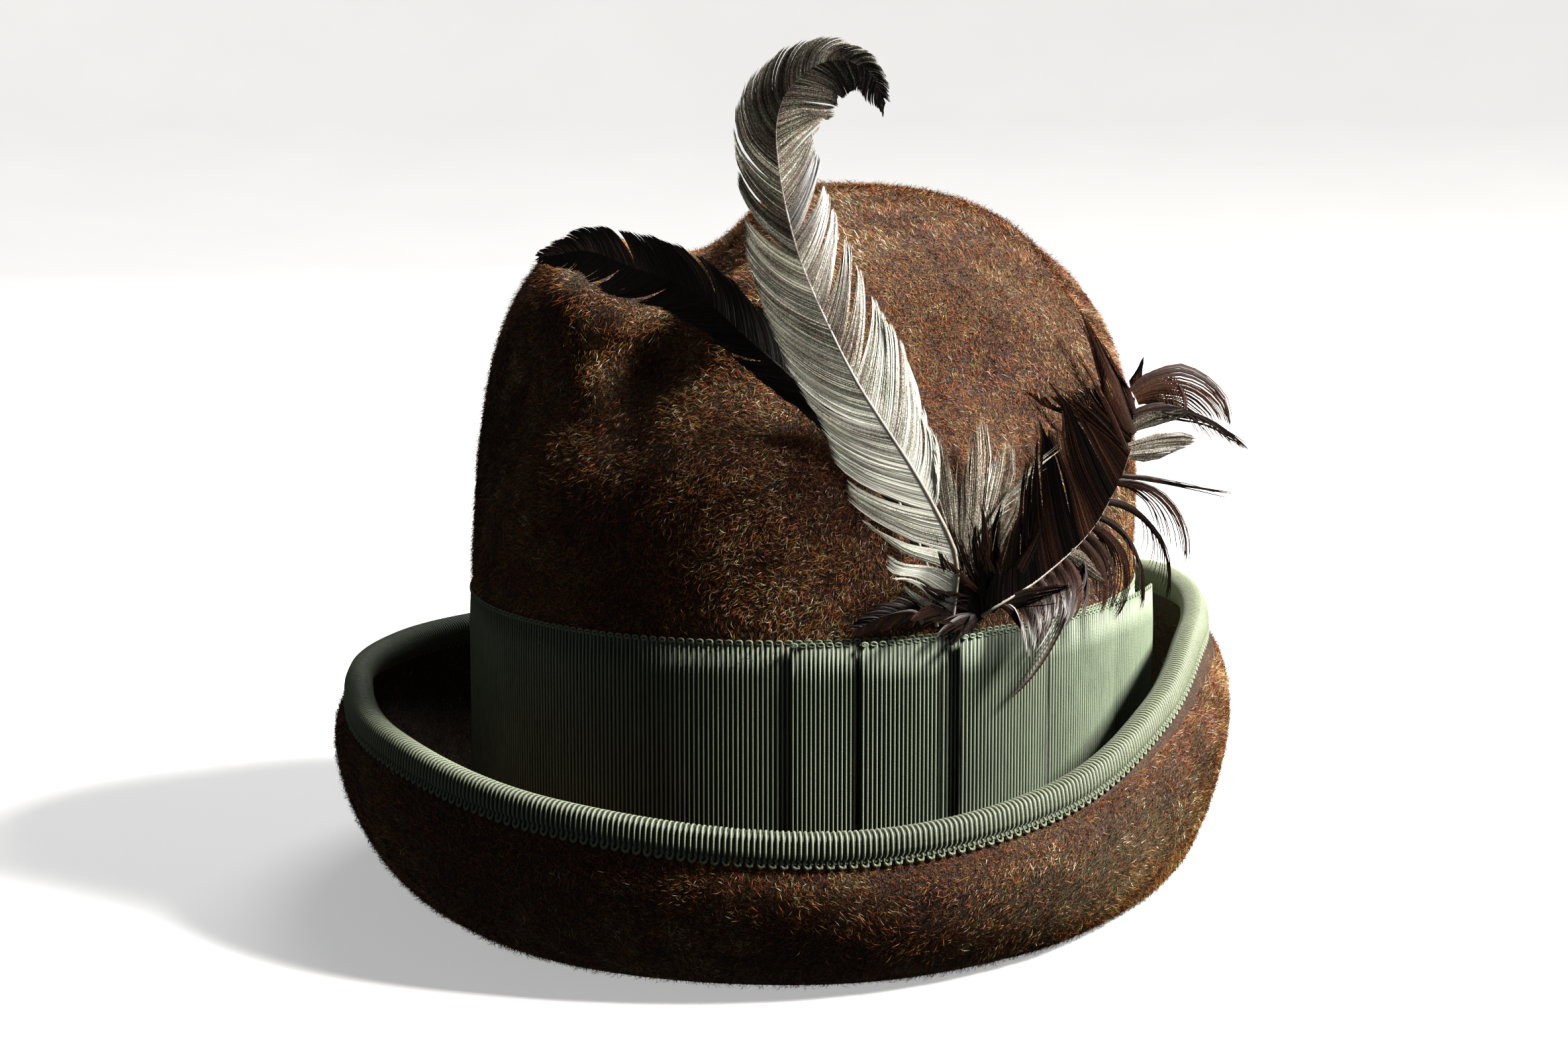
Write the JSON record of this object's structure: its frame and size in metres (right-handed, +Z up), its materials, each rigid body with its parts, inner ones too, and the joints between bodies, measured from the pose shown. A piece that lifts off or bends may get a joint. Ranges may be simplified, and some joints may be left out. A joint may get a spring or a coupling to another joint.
{
  "type": "tyrolean hat",
  "caption": "Felt hat with a tall creased crown, turned-up bound brim, wide ribbed band with a flat bow, and a spray of feathers on one side.",
  "frame": {"origin": "on the surface that the hat rests on, under the middle of its box", "axes": "+Z up through the crown, -Y towards the front of the hat, +X towards the wearer's left, where the bow and the feathers are"},
  "size_m": [0.2258, 0.2656, 0.2066],
  "materials": {
    "felt": "matte, long nap",
    "ribbon": "ribbed, satin",
    "binding": "ribbed, satin",
    "feather": "iridescent, satin",
    "dark_feather": "glossy"
  },
  "bodies": {
    "root": {"felt_body": "felt", "hat_band": "ribbon", "bow_fold_1": "ribbon", "bow_fold_2": "ribbon", "bow_fold_3": "ribbon", "bow_fold_4": "ribbon", "bow_fold_5": "ribbon", "brim_binding": "binding", "long_feather": "feather", "splayed_feather": "feather", "feather_stub": "feather", "dark_feather": "dark_feather", "curly_feather": "dark_feather"}
  },
  "joints": []
}
